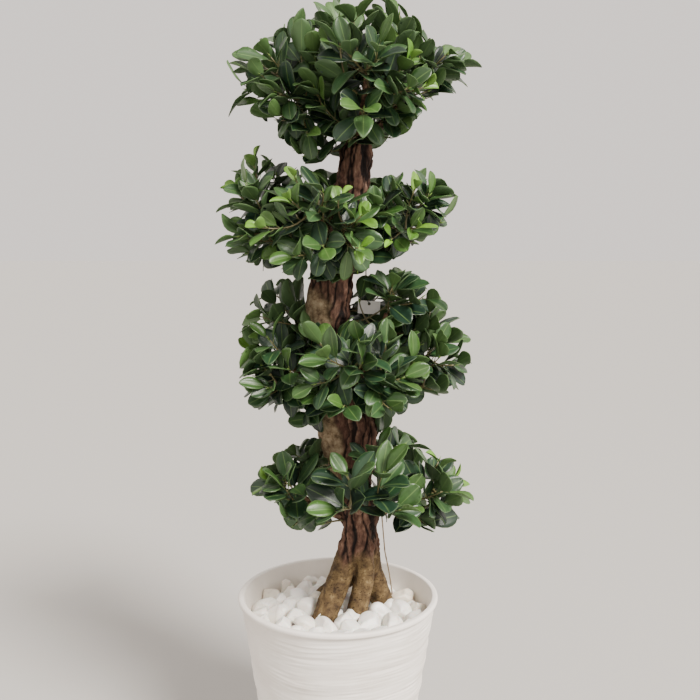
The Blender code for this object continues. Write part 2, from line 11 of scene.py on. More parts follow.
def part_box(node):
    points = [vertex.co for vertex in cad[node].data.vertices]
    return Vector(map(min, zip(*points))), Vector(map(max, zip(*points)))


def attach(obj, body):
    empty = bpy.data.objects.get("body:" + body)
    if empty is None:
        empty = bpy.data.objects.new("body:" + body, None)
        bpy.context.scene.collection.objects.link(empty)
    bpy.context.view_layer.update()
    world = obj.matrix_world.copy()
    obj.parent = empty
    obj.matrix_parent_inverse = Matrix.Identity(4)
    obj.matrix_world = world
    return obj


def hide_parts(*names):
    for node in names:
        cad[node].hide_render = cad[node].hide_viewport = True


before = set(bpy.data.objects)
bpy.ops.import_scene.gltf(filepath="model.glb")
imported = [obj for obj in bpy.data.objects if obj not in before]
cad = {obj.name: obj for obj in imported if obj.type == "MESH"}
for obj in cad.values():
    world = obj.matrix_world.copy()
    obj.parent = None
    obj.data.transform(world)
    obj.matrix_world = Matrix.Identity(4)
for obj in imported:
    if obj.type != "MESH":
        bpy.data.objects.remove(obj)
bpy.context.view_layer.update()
pot_low, pot_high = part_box("pot")
rim_height = pot_high.z


# ---------------------------------------------------------------- Camera, floor and lights
# The plant stands on a plain pale floor under large soft lamps, the main one to the right
# and in front. The camera looks slightly down from just above the middle of the foliage.

def srgb(hex_color):
    """Linear RGBA from an sRGB hex colour."""
    values = [int(hex_color[i:i + 2], 16) / 255.0 for i in (1, 3, 5)]
    linear = [v / 12.92 if v <= 0.04045 else ((v + 0.055) / 1.055) ** 2.4 for v in values]
    return (*linear, 1.0)


def add_node(material, kind, settings=None, links=None):
    """One node. Settings are sockets or properties by name, links are sockets to join."""
    tree = material.node_tree
    node = tree.nodes.new(kind)
    for key, value in (settings or {}).items():
        if key == "stops":
            ramp = node.color_ramp
            while len(ramp.elements) < len(value):
                ramp.elements.new(0.5)
            for element, (place, color) in zip(ramp.elements, value):
                element.position = place
                element.color = srgb(color) if isinstance(color, str) else (color,) * 3 + (1.0,)
        elif isinstance(key, int) or key in node.inputs:
            node.inputs[key].default_value = value
        else:
            setattr(node, key, value)
    for key, socket in (links or {}).items():
        tree.links.new(socket, node.inputs[key])
    return node


def join(socket, target):
    """Join an output to an input of the same material."""
    socket.id_data.links.new(socket, target)


def new_material(name, **principled):
    """A named material with its Principled shader, whose fixed inputs are given."""
    material = bpy.data.materials.new(name)
    material.use_nodes = True
    shader = material.node_tree.nodes["Principled BSDF"]
    for key, value in principled.items():
        shader.inputs[key.replace("_", " ")].default_value = value
    return material, shader


camera_setback = 1.239
camera_above_rim = 0.504
camera_sideways = 0.018
camera_tilt = math.radians(6.28)

camera_data = bpy.data.cameras.new("camera")
camera_data.sensor_width = 36.0
camera_data.lens = 43.7
camera = bpy.data.objects.new("camera", camera_data)
camera.location = (camera_sideways, -camera_setback, rim_height + camera_above_rim)
camera.rotation_euler = (math.radians(90.0) - camera_tilt, 0.0, 0.0)
bpy.context.scene.collection.objects.link(camera)
bpy.context.scene.camera = camera

floor_mesh = bpy.data.meshes.new("floor")
floor_reach = 150.0
floor_mesh.from_pydata([(-floor_reach, -floor_reach, 0), (floor_reach, -floor_reach, 0),
                        (floor_reach, floor_reach, 0), (-floor_reach, floor_reach, 0)],
                       [], [(0, 1, 2, 3)])
floor = bpy.data.objects.new("floor", floor_mesh)
bpy.context.scene.collection.objects.link(floor)
floor_paint, _ = new_material(
    "matt_floor_paint", Base_Color=srgb("#b6b4b0"), Roughness=0.95, Specular_IOR_Level=0.1)
floor_mesh.materials.append(floor_paint)


def add_lamp(name, kind, place, target, power, color, **settings):
    """A lamp that shines from its place towards a target point."""
    data = bpy.data.lights.new(name, kind)
    data.energy = power
    data.color = srgb(color)[:3]
    for key, value in settings.items():
        setattr(data, key, value)
    lamp = bpy.data.objects.new(name, data)
    lamp.location = place
    aim = Vector(target) - Vector(place)
    lamp.rotation_euler = aim.to_track_quat("-Z", "Y").to_euler()
    bpy.context.scene.collection.objects.link(lamp)


foliage_middle = (0.0, 0.0, 0.7)
add_lamp("window_light", "SUN", (1.3, -1.4, 2.5), foliage_middle, 6.4, "#fff8f0", angle=0.35)
add_lamp("soft_box", "AREA", (1.5, -1.3, 2.2), foliage_middle, 24.0, "#fffaf4", size=0.9)
world = bpy.data.worlds.new("studio")
world.use_nodes = True
world.node_tree.nodes["Background"].inputs["Color"].default_value = srgb("#d9d1cb")
world.node_tree.nodes["Background"].inputs["Strength"].default_value = 1.72
bpy.context.scene.world = world


# ---------------------------------------------------------------- Planter
# A tapered planter of white resin with a rounded lip and a plain inside. Its outer wall is
# drawn with soft uneven ridges that run round it, as if combed by hand in the mould.

def tinted(name, patch_mm, detail, stops, **principled):
    """A material coloured in soft patches of a size, its shader and the patches' node."""
    material, shader = new_material(name, **principled)
    place = add_node(material, "ShaderNodeTexCoord").outputs["Object"]
    patches = add_node(material, "ShaderNodeTexNoise",
                       {"Scale": 1000.0 / patch_mm, "Detail": detail}, {"Vector": place})
    tint = add_node(material, "ShaderNodeValToRGB", {"stops": stops},
                    {"Fac": patches.outputs["Fac"]})
    join(tint.outputs["Color"], shader.inputs["Base Color"])
    return material, shader, patches


def add_piece(name, vertices, faces, material, slot, *replaced):
    """A smooth-shaded mesh piece that rides on the row's one body."""
    mesh = bpy.data.meshes.new(name)
    mesh.from_pydata([tuple(v) for v in vertices], [], [tuple(f) for f in faces])
    mesh.validate()
    piece = bpy.data.objects.new(name, mesh)
    bpy.context.scene.collection.objects.link(piece)
    return seat_piece(piece, material, slot, *replaced)


def seat_piece(piece, material, slot, *replaced):
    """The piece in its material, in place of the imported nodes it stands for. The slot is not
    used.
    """
    piece.data.materials.clear()
    piece.data.materials.append(material)
    piece.data.shade_smooth()
    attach(piece, "root")
    if replaced:
        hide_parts(*replaced)
    return piece


def coat(node, material):
    """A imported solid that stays, in a better material."""
    cad[node].data.materials.clear()
    cad[node].data.materials.append(material)


def applied(piece):
    """The piece with its modifiers turned into mesh."""
    evaluated = piece.evaluated_get(bpy.context.evaluated_depsgraph_get())
    mesh = bpy.data.meshes.new_from_object(evaluated)
    piece.modifiers.clear()
    piece.data = mesh
    return piece


lip_height = 0.0078
lip_proud = 0.0035
wall = 0.0055
floor_thickness = 0.008
rim_radius = 0.5 * (pot_high.x - pot_low.x)
foot_radius = max(math.hypot(v.co.x, v.co.y) for v in cad["pot"].data.vertices
                  if v.co.z < 0.001)
wall_top = rim_radius - lip_proud
wall_foot = foot_radius + 0.003
foot_round = 0.003
undercut_round = 0.0010
lip_lower_round = 0.0030
lip_crown_round = 0.0036
lip_inner_round = 0.0028
corner_round = 0.010
inner_rows = 40
ridge_depth = 0.0016
ridge_pitch = 0.0062
planter_sides = 220
wall_rows = 250


def wall_line(height):
    """Outer radius of the plain wall at a height."""
    return wall_foot + (wall_top - wall_foot) * height / rim_height


def arc(middle_point, radius, start, end, steps):
    """Points of an arc in the (radius, height) plane, angles in degrees."""
    points = []
    for step in range(steps + 1):
        angle = math.radians(start + (end - start) * step / steps)
        points.append((middle_point[0] + radius * math.cos(angle),
                       middle_point[1] + radius * math.sin(angle)))
    return points


def planter_outline():
    """From the middle of the underside out, up the wall, over the lip and down inside."""
    line = [(0.0, 0.0), (0.03, 0.0), (0.06, 0.0), (0.09, 0.0)]
    line += arc((wall_foot - foot_round, foot_round), foot_round, -90, 0, 5)
    under_lip = rim_height - lip_height
    first = 0.004
    for row in range(wall_rows + 1):
        height = first + (under_lip - 0.003 - first) * row / wall_rows
        line.append((wall_line(height), height))
    line += arc((wall_top + 0.0002, under_lip - 0.0004), undercut_round, -130, -200, 4)
    line += arc((rim_radius - lip_lower_round, under_lip + lip_lower_round),
                lip_lower_round, -75, 0, 5)
    line += arc((rim_radius - lip_crown_round, rim_height - lip_crown_round),
                lip_crown_round, 0, 90, 8)
    inner_top = wall_top - wall
    line += arc((inner_top + lip_inner_round, rim_height - lip_inner_round),
                lip_inner_round, 90, 180, 6)
    inner_depth = rim_height - 0.0128 - floor_thickness
    for row in range(1, inner_rows):
        height = rim_height - lip_inner_round - inner_depth * row / inner_rows
        line.append((wall_line(height) - wall, height))
    corner = wall_line(floor_thickness) - wall
    line += arc((corner - corner_round, floor_thickness + corner_round), corner_round,
                0, -90, 6)
    line += [(0.06, floor_thickness), (0.03, floor_thickness), (0.0, floor_thickness)]
    return line


def ridge(angle, height):
    """How far the drawn ridges stand out at a place on the wall."""
    around = Vector((math.cos(angle), math.sin(angle), 0.0))
    sway = 1.2 * noise.noise(around * 1.3 + Vector((0, 5.0, 9.0 * height)))
    level = height / ridge_pitch + sway
    stroke = 0.5 - abs(noise.noise(around * 1.7 + Vector((0, 0, level))))
    fine = noise.noise(around * 3.6 + Vector((7.0, 0, 2.7 * level)))
    swell = noise.noise(around * 1.1 + Vector((3.0, 0, 0.35 * level)))
    patch = 0.75 + 0.8 * noise.noise(around * 2.2 + Vector((0, 3.0, 22.0 * height)))
    ends = min(1.0, height / 0.012, max(0.0, (rim_height - lip_height - height) / 0.010))
    return ridge_depth * ends * (patch * (0.9 * stroke + 0.30 * fine) + 0.9 * swell)


def turn_planter():
    """The outline turned round the upright axis, with the ridges on its outer wall."""
    line = planter_outline()
    rows = []
    vertices = []
    under_lip = rim_height - lip_height
    for index, (radius, height) in enumerate(line):
        if radius == 0.0:
            rows.append([len(vertices)])
            vertices.append((0.0, 0.0, height))
            continue
        row = []
        outside = abs(radius - wall_line(height)) < 1e-9 and height < under_lip
        for side in range(planter_sides):
            angle = 2.0 * math.pi * side / planter_sides
            reach = radius + (ridge(angle, height) if outside else 0.0)
            row.append(len(vertices))
            vertices.append((reach * math.cos(angle), reach * math.sin(angle), height))
        rows.append(row)
    faces = []
    for low, high in zip(rows, rows[1:]):
        for side in range(planter_sides):
            after = (side + 1) % planter_sides
            if len(low) == 1:
                faces.append((low[0], high[after], high[side]))
            elif len(high) == 1:
                faces.append((low[side], low[after], high[0]))
            else:
                faces.append((low[side], low[after], high[after], high[side]))
    return vertices, faces


# Matt white moulded resin, warmer and cooler in soft clouds, with a fine cast grain
planter_resin, shader, _ = tinted(
    "white_moulded_resin", 60.0, 4.0, ((0.30, "#e9e2d9"), (0.70, "#f9f4ed")), Roughness=0.52,
    IOR=1.49, Specular_IOR_Level=0.45)
place = add_node(planter_resin, "ShaderNodeTexCoord").outputs["Object"]
grain_per_metre = 1.0 / 0.0012
grain = add_node(
    planter_resin, "ShaderNodeTexNoise", {"Scale": grain_per_metre, "Detail": 2.0},
    {"Vector": place})
grain_bump = add_node(
    planter_resin, "ShaderNodeBump", {"Strength": 0.25, "Distance": 0.0002},
    {"Height": grain.outputs["Fac"]})
join(grain_bump.outputs["Normal"], shader.inputs["Normal"])

planter = add_piece("planter", *turn_planter(), planter_resin, "planter", "pot")


def drill_drains(piece):
    """Five drain holes through the planter's floor, where the CAD planter has them."""
    drains = 5
    drain_radius = 0.007
    drain_circle = 0.062
    bm = bmesh.new()
    for hole in range(drains):
        angle = 2.0 * math.pi * hole / drains
        made = bmesh.ops.create_cone(bm, cap_ends=True, segments=32, radius1=drain_radius,
                                     radius2=drain_radius, depth=4.0 * floor_thickness)
        shift = (drain_circle * math.cos(angle), drain_circle * math.sin(angle), 0.0)
        bmesh.ops.translate(bm, verts=made["verts"], vec=shift)
    mesh = bpy.data.meshes.new("drill")
    bm.to_mesh(mesh)
    bm.free()
    drill = bpy.data.objects.new("drill", mesh)
    bpy.context.scene.collection.objects.link(drill)
    cut = piece.modifiers.new("drains", "BOOLEAN")
    cut.operation = "DIFFERENCE"
    cut.object = drill
    applied(piece)
    bpy.data.objects.remove(drill)


drill_drains(planter)


# ---------------------------------------------------------------- Potting soil
# Dark peat and bark fines under the stones, seen only between them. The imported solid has
# the right shape, so it stays and gets a crumbly surface.

# Dark peat with paler bark fines, crumbs of about 4 mm
potting_soil, shader, crumbs = tinted(
    "peat_potting_mix", 4.0, 6.0, ((0.35, "#1d140e"), (0.70, "#4a3524")), Roughness=0.95)
bump = add_node(
    potting_soil, "ShaderNodeBump", {"Strength": 0.8, "Distance": 0.003},
    {"Height": crumbs.outputs["Fac"]})
join(bump.outputs["Normal"], shader.inputs["Normal"])
coat("soil", potting_soil)


# ---------------------------------------------------------------- White stones
# Tumbled marble pebbles of 25 to 40 mm, poured by hand over the soil and round the stems.
# They are settled like poured balls, then each gets its own worn, slightly angular shape.

stone_count = 106
stone_radii = (0.0148, 0.0198)
stone_steps = 420
stone_heap = 0.016
pour_reach = 0.115
pour_depth = 0.05
sink_step = 0.0006
push_share = 0.35
wall_gap = 0.0006
soil_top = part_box("soil")[1].z
stone_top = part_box("stone_layer")[1].z
stone_seed = 5


def surface_tree(node):
    """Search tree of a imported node's surface."""
    mesh = cad[node].data
    return BVHTree.FromPolygons([v.co for v in mesh.vertices],
                                [p.vertices for p in mesh.polygons])


def settle_stones(rng):
    """Balls dropped into the planter, pushed apart and pressed down until they rest."""
    radii = np.array([rng.uniform(*stone_radii) for _ in range(stone_count)])
    points = []
    for radius in radii:
        angle = rng.uniform(0.0, 2.0 * math.pi)
        reach = math.sqrt(rng.random()) * pour_reach
        height = soil_top + radius + rng.random() * pour_depth
        points.append((reach * math.cos(angle), reach * math.sin(angle), height))
    points = np.array(points)
    obstacles = [surface_tree("trunk"), surface_tree("aerial_root")]
    for step in range(stone_steps):
        points[:, 2] -= sink_step if step < stone_steps * 0.8 else 0.0
        for _ in range(2):
            gap = points[:, None, :] - points[None, :, :]
            distance = np.linalg.norm(gap, axis=2) + np.eye(stone_count)
            overlap = np.maximum(radii[:, None] + radii[None, :] - distance, 0.0)
            np.fill_diagonal(overlap, 0.0)
            points += (gap / distance[:, :, None] * overlap[:, :, None]).sum(axis=1) * push_share
        for index, radius in enumerate(radii):
            for tree in obstacles:
                near, _, _, away = tree.find_nearest(Vector(points[index]), 0.03)
                if near is not None and away < radius:
                    push = Vector(points[index]) - near
                    points[index] += np.array(push.normalized() * (radius - away))
        across = np.linalg.norm(points[:, :2], axis=1)
        room = np.array([wall_line(z) for z in points[:, 2]]) - wall - radii - wall_gap
        over = across > room
        points[over, :2] *= (room[over] / across[over])[:, None]
        points[:, 2] = np.maximum(points[:, 2], soil_top + radii * 0.7)
        heap = stone_heap * (1.0 - across / 0.14)
        points[:, 2] = np.minimum(points[:, 2], stone_top + heap - radii * 0.80)
    return points, radii


def stone_shape(rng, radius):
    """A worn pebble: a stretched ball with a few flats and soft dents."""
    bm = bmesh.new()
    bmesh.ops.create_icosphere(bm, subdivisions=4, radius=1.0)
    stretch = Vector((rng.uniform(1.06, 1.28), rng.uniform(0.92, 1.06),
                      rng.uniform(0.74, 0.90)))
    shift = Vector([rng.uniform(-50, 50) for _ in range(3)])
    flats = []
    for _ in range(rng.randint(7, 11)):
        flat = Vector([rng.gauss(0.0, 1.0) for _ in range(3)]).normalized()
        flats.append((flat, rng.uniform(0.62, 0.86)))
    for vert in bm.verts:
        point = vert.co.normalized()
        for flat, depth in flats:
            over = point.dot(flat) - depth
            if over > 0.0:
                point -= flat * over * 0.95
        point *= 1.0 + 0.10 * noise.noise(point * 1.7 + shift)
        point *= 1.0 + 0.018 * noise.noise(point * 6.0 + shift)
        vert.co = Vector([a * b for a, b in zip(point, stretch)]) * radius
    turn = Matrix.Rotation(rng.uniform(0, 6.28), 4, "Z")
    tip = Matrix.Rotation(rng.gauss(0.0, 0.55), 4, "X") @ Matrix.Rotation(
        rng.gauss(0.0, 0.55), 4, "Y")
    bm.transform(turn @ tip)
    bmesh.ops.smooth_vert(bm, verts=bm.verts, factor=0.5, use_axis_x=True,
                          use_axis_y=True, use_axis_z=True)
    vertices = np.array([v.co for v in bm.verts])
    faces = np.array([[v.index for v in f.verts] for f in bm.faces])
    bm.free()
    return vertices, faces


def pour_stones(material):
    """All the stones as one piece, each with its own tone."""
    rng = random.Random(stone_seed)
    points, radii = settle_stones(rng)
    vertices = []
    faces = []
    tones = []
    count = 0
    for point, radius in zip(points, radii):
        shape, shape_faces = stone_shape(rng, radius * 1.05)
        vertices.append(shape + point)
        faces.append(shape_faces + count)
        tones.append(np.full(len(shape), rng.random()))
        count += len(shape)
    piece = add_piece("white_stones", np.concatenate(vertices), np.concatenate(faces),
                      material, "stones", "stone_layer")
    set_attribute(piece, "stone_tone", np.concatenate(tones))
    return piece


def set_attribute(piece, name, values):
    """One number for each vertex, for the material to read."""
    attribute = piece.data.attributes.new(name, "FLOAT", "POINT")
    attribute.data.foreach_set("value", np.asarray(values, np.float32))


# Tumbled white marble, some stones creamier, with faint grey veins and small pits
marble, shader = new_material(
    "tumbled_white_marble", Roughness=0.42, IOR=1.55, Subsurface_Weight=0.12,
    Subsurface_Scale=0.006)
place = add_node(marble, "ShaderNodeTexCoord").outputs["Object"]
vein_per_metre = 1.0 / 0.022
pit_per_metre = 1.0 / 0.0015
tone = add_node(marble, "ShaderNodeAttribute", {"attribute_name": "stone_tone"})
vein = add_node(
    marble, "ShaderNodeTexNoise", {"Scale": vein_per_metre, "Detail": 5.0, "Distortion": 1.2},
    {"Vector": place})
white = add_node(
    marble, "ShaderNodeValToRGB",
    {"stops": ((0.0, "#f3f1eb"), (0.75, "#ece8e0"), (1.0, "#ddd5c4"))},
    {"Fac": tone.outputs["Fac"]})
grey = add_node(
    marble, "ShaderNodeValToRGB", {"stops": ((0.33, "#dcdad5"), (0.48, "#ffffff"))},
    {"Fac": vein.outputs["Fac"]})
both = add_node(
    marble, "ShaderNodeMix", {"data_type": "RGBA", "blend_type": "MULTIPLY", 0: 0.7},
    {6: white.outputs["Color"], 7: grey.outputs["Color"]})
join(both.outputs[2], shader.inputs["Base Color"])
pits = add_node(
    marble, "ShaderNodeTexNoise", {"Scale": pit_per_metre, "Detail": 3.0}, {"Vector": place})
bump = add_node(
    marble, "ShaderNodeBump", {"Strength": 0.3, "Distance": 0.0004},
    {"Height": pits.outputs["Fac"]})
join(bump.outputs["Normal"], shader.inputs["Normal"])

pour_stones(marble)


# ---------------------------------------------------------------- Trunk
# Old ficus wood: three thick stems and a root fused into one trunk. The stems are tan and
# pricked with lenticels, and the bark round the grafts is dark, lumpy and fissured.

trunk_voxel = 0.0018
lump_depth = 0.0042
fissure_depth = 0.0034
grit_depth = 0.0010
ring_depth = 0.0004
strand_width = 0.0125
strand_height = 0.085
flake_width = 0.0062
flake_height = 0.014
lump_size = 0.026
knob_size = 0.011
grit_size = 0.0040
ring_width = 0.022
pale_spots = (
    ((-0.016, -0.004, 0.222), (0.026, 0.060, 0.055)),
    ((-0.034, -0.012, 0.424), (0.028, 0.040, 0.036)),
)
stem_top = 0.062


def rounded_copy(node, name, voxel, smoothing):
    """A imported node's solid as an even, rounded mesh that can be carved."""
    mesh = cad[node].data.copy()
    bm = bmesh.new()
    bm.from_mesh(mesh)
    bmesh.ops.remove_doubles(bm, verts=bm.verts[:], dist=1e-6)
    bm.to_mesh(mesh)
    bm.free()
    mesh.name = name
    piece = bpy.data.objects.new(name, mesh)
    bpy.context.scene.collection.objects.link(piece)
    remesh = piece.modifiers.new("even", "REMESH")
    remesh.mode = "VOXEL"
    remesh.voxel_size = voxel
    smooth = piece.modifiers.new("round", "SMOOTH")
    smooth.factor = 0.5
    smooth.iterations = smoothing
    return applied(piece)


def step_between(low, high, value):
    """0 below low, 1 above high and a smooth rise between them."""
    share = min(1.0, max(0.0, (value - low) / (high - low)))
    return share * share * (3.0 - 2.0 * share)


def paleness(point):
    """How tan the wood is, 0 on dark graft bark, and how much it is bare old wood."""
    height = point.z - rim_height
    wave = 0.022 * noise.noise(Vector((point.x * 40, point.y * 40, 3.0)))
    pale = 1.0 - step_between(stem_top - 0.010, stem_top + 0.012, height + wave)
    cut = 0.0
    for spot, reach in pale_spots:
        away = math.sqrt(((point.x - spot[0]) / reach[0]) ** 2
                         + ((point.y - spot[1]) / reach[1]) ** 2
                         + ((height - spot[2]) / reach[2]) ** 2)
        ragged = away + 0.25 * noise.noise(point * 60.0)
        cut = max(cut, 0.9 * (1.0 - step_between(0.8, 1.15, ragged)))
    return max(pale, cut), cut


def carve_trunk(piece):
    """Lumps, upright fissures and small lenticels, deepest where the bark is dark."""
    mesh = piece.data
    normals = [v.normal.copy() for v in mesh.vertices]
    pales = []
    cuts = []
    cracks = []
    for vert, normal in zip(mesh.vertices, normals):
        point = vert.co
        pale, cut = paleness(point)
        sway = 0.006 * noise.noise(point / 0.035)
        strand_at = Vector(((point.x + sway) / strand_width, point.y / strand_width,
                            point.z / strand_height))
        strand = 1.0 - abs(noise.noise(strand_at)) * 3.2
        flake_at = Vector((point.x / flake_width, point.y / flake_width,
                           (point.z + sway) / flake_height))
        flake = 1.0 - abs(noise.noise(flake_at)) * 2.6
        crack = max(strand, 0.0) ** 2 + 0.45 * max(flake, 0.0) ** 2
        lump = noise.noise(point / lump_size) + 0.6 * noise.noise(point / knob_size)
        grit = noise.noise(point / grit_size)
        ring = noise.noise(Vector((point.x / ring_width, point.y / ring_width,
                                   point.z / grit_size)))
        depth = lump_depth * lump * (1.0 - 0.72 * pale)
        depth -= fissure_depth * crack * (1.0 - 0.88 * pale)
        depth += grit_depth * grit * (1.0 - 0.7 * pale) + ring_depth * ring * pale
        vert.co = point + normal * (depth + 0.0006)
        pales.append(pale)
        cuts.append(cut)
        cracks.append(min(crack, 1.0))
    mesh.update()
    set_attribute(piece, "bark_pale", pales)
    # The crack share is kept for the bark material, where it darkens the fissures as painted
    # shade
    set_attribute(piece, "bark_crack", cracks)
    set_attribute(piece, "bark_cut", cuts)


# Bark in three kinds by height: dark fibrous grafts, tan pricked stems, bare old wood.
# On the grafts the fissures are darkened as painted shade, and the raised fibres are lightened
# as painted highlight.
ficus_bark, shader = new_material(
    "ficus_trunk_bark", Roughness=0.80, IOR=1.45, Specular_IOR_Level=0.35)
place = add_node(ficus_bark, "ShaderNodeTexCoord").outputs["Object"]
fibre_mm = 9.0
upright = add_node(
    ficus_bark, "ShaderNodeMapping", {"Scale": (1.0, 1.0, 0.28)}, {"Vector": place})
fibre = add_node(
    ficus_bark, "ShaderNodeTexNoise",
    {"Scale": 1000.0 / fibre_mm, "Detail": 8.0, "Roughness": 0.68},
    {"Vector": upright.outputs["Vector"]})
# The graft bark's own dark brown with painted light in it. The same fibre noise raises the bump,
# so the paler stops light the raised fibres as painted highlight and the darkest stop darkens
# the hollows as painted shade
dark = add_node(
    ficus_bark, "ShaderNodeValToRGB",
    {"stops": ((0.30, "#2c1b16"), (0.48, "#5b4034"), (0.60, "#7a5c4c"), (0.74, "#a58b78"))},
    {"Fac": fibre.outputs["Fac"]})
# Painted shade: each fissure is darkened by its crack share, down to a dark grey-brown in the
# deepest
crack = add_node(ficus_bark, "ShaderNodeAttribute", {"attribute_name": "bark_crack"})
painted_crack_shade = add_node(
    ficus_bark, "ShaderNodeValToRGB", {"stops": ((0.15, "#ffffff"), (0.75, "#4a3c3a"))},
    {"Fac": crack.outputs["Fac"]})
bark_with_painted_crack_shade = add_node(
    ficus_bark, "ShaderNodeMix", {"data_type": "RGBA", "blend_type": "MULTIPLY", 0: 1.0},
    {6: dark.outputs["Color"], 7: painted_crack_shade.outputs["Color"]})
mottle_mm = 11.0
mottle = add_node(
    ficus_bark, "ShaderNodeTexNoise",
    {"Scale": 1000.0 / mottle_mm, "Detail": 8.0, "Roughness": 0.66}, {"Vector": place})
tan = add_node(
    ficus_bark, "ShaderNodeValToRGB",
    {"stops": ((0.32, "#2e2217"), (0.46, "#514029"), (0.60, "#6c593b"), (0.74, "#9a8660"))},
    {"Fac": mottle.outputs["Fac"]})
lenticel_mm = 4.5
squat = add_node(ficus_bark, "ShaderNodeMapping", {"Scale": (0.8, 0.8, 1.4)}, {"Vector": place})
pores = add_node(
    ficus_bark, "ShaderNodeTexVoronoi",
    {"feature": "F1", "Scale": 1000.0 / lenticel_mm, "Randomness": 1.0},
    {"Vector": squat.outputs["Vector"]})
pore_dots = add_node(
    ficus_bark, "ShaderNodeValToRGB", {"stops": ((0.14, "#3f2c1c"), (0.30, "#ffffff"))},
    {"Fac": pores.outputs["Distance"]})
pricked = add_node(
    ficus_bark, "ShaderNodeMix", {"data_type": "RGBA", "blend_type": "MULTIPLY", 0: 0.75},
    {6: tan.outputs["Color"], 7: pore_dots.outputs["Color"]})
bare = add_node(
    ficus_bark, "ShaderNodeValToRGB",
    {"stops": ((0.34, "#4e3e2c"), (0.48, "#948064"), (0.66, "#c4b292"))},
    {"Fac": mottle.outputs["Fac"]})
cut = add_node(ficus_bark, "ShaderNodeAttribute", {"attribute_name": "bark_cut"})
light = add_node(
    ficus_bark, "ShaderNodeMix", {"data_type": "RGBA"},
    {0: cut.outputs["Fac"], 6: pricked.outputs[2], 7: bare.outputs["Color"]})
pale = add_node(ficus_bark, "ShaderNodeAttribute", {"attribute_name": "bark_pale"})
skin = add_node(
    ficus_bark, "ShaderNodeMix", {"data_type": "RGBA"},
    {0: pale.outputs["Fac"], 6: bark_with_painted_crack_shade.outputs[2], 7: light.outputs[2]})
join(skin.outputs[2], shader.inputs["Base Color"])
bump = add_node(
    ficus_bark, "ShaderNodeBump", {"Strength": 0.8, "Distance": 0.0016},
    {"Height": fibre.outputs["Fac"]})
join(bump.outputs["Normal"], shader.inputs["Normal"])

trunk = rounded_copy("trunk", "trunk_wood", trunk_voxel, 8)
carve_trunk(trunk)
seat_piece(trunk, ficus_bark, "trunk_bark", "trunk")


# ---------------------------------------------------------------- Limbs and aerial root
# Young grafted branches with thin brown bark, and one thin root that hangs from the lowest
# tier down between the stones.

limb_voxel = 0.0011
root_voxel = 0.0006
limb_names = sorted(name for name in cad if name.endswith("_limb"))

# Thin brown bark with short paler streaks
branch_bark, shader, streak = tinted(
    "ficus_branch_bark", 6.0, 6.0, ((0.30, "#33241d"), (0.52, "#654a39"), (0.75, "#9c8069")),
    Roughness=0.72, IOR=1.45, Specular_IOR_Level=0.4)
bump = add_node(
    branch_bark, "ShaderNodeBump", {"Strength": 0.6, "Distance": 0.0006},
    {"Height": streak.outputs["Fac"]})
join(bump.outputs["Normal"], shader.inputs["Normal"])


def roughen(piece, depth, grain):
    """Shallow knobs along a branch or root."""
    normals = [v.normal.copy() for v in piece.data.vertices]
    for vert, normal in zip(piece.data.vertices, normals):
        lump = noise.noise(vert.co / grain) + 0.5 * noise.noise(vert.co / (0.4 * grain))
        vert.co = vert.co + normal * depth * lump
    piece.data.update()


for limb_name in limb_names:
    limb = rounded_copy(limb_name, limb_name + "_wood", limb_voxel, 4)
    roughen(limb, 0.0006, 0.009)
    seat_piece(limb, branch_bark, "limb_bark", limb_name)

# Pale, smooth skin of a young root, in soft bands
root_skin, _, _ = tinted("pale_root_skin", 8.0, 4.0, ((0.30, "#77644c"), (0.70, "#b3a083")),
                         Roughness=0.75, IOR=1.45)
aerial_root = rounded_copy("aerial_root", "aerial_root_wood", root_voxel, 2)
roughen(aerial_root, 0.0002, 0.006)
seat_piece(aerial_root, root_skin, "root_bark", "aerial_root")


# ---------------------------------------------------------------- Leafy sprays
# Each spray is a green shoot with side shoots. Leaves stand round them in a spiral on short
# stalks: thick, waxy, oval and blunt, dark green above and paler below, lime when new.

leaf_length = 0.049
leaf_width = 0.0285
leaf_thickness = 0.00045
stalk_length = 0.008
leaf_spacing = 0.0070
golden_turn = math.radians(137.5)
shoot_radius = 0.0017
shoot_end_radius = 0.0008
side_shoots = 4
leaf_tries = 16
spray_seed = 29
blade_rows = 9
blade_columns = 5
young_sprays = ("upper_left_spray_1", "upper_front_spray_1", "upper_front_spray_2",
                "low_right_spray_1", "low_left_spray_1", "upper_right_spray_2",
                "crown_front_spray_2", "middle_left_spray_1")
# How steeply each kind of blade widens from its stalk and narrows to its tip
blade_shapes = ((0.82, 0.62), (0.92, 0.52), (0.85, 0.80), (0.74, 0.58))


def blade_half_width(share, rise, fall):
    """Half the blade's width at a share of its length, 1 at the widest."""
    peak = rise / (rise + fall)
    top = peak ** rise * (1.0 - peak) ** fall
    return share ** rise * (1.0 - share) ** fall / top


def blade_template():
    """Shares along and across the blade for the two skins, with faces closed at the rim."""
    along = [0.5 - 0.5 * math.cos(math.pi * (0.04 + 0.94 * r / (blade_rows - 1)))
             for r in range(blade_rows)]
    across = [-1.0 + 2.0 * c / (blade_columns - 1) for c in range(blade_columns)]
    shares = np.array([(u, v) for u in along for v in across])
    skin = blade_rows * blade_columns
    faces = []
    for r in range(blade_rows - 1):
        for c in range(blade_columns - 1):
            a = r * blade_columns + c
            quad = (a, a + 1, a + blade_columns + 1, a + blade_columns)
            faces.append(quad)
            faces.append(tuple(skin + i for i in reversed(quad)))
    rim = list(range(blade_columns))
    rim += [r * blade_columns + blade_columns - 1 for r in range(1, blade_rows)]
    rim += [skin - 1 - c for c in range(1, blade_columns)]
    rim += [r * blade_columns for r in range(blade_rows - 2, 0, -1)]
    for first, second in zip(rim, rim[1:] + rim[:1]):
        faces.append((second, first, first + skin, second + skin))
    return shares, faces


blade_shares, blade_faces = blade_template()
blade_widths = [np.array([blade_half_width(u, *shape) for u in blade_shares[:, 0]])
                for shape in blade_shapes]


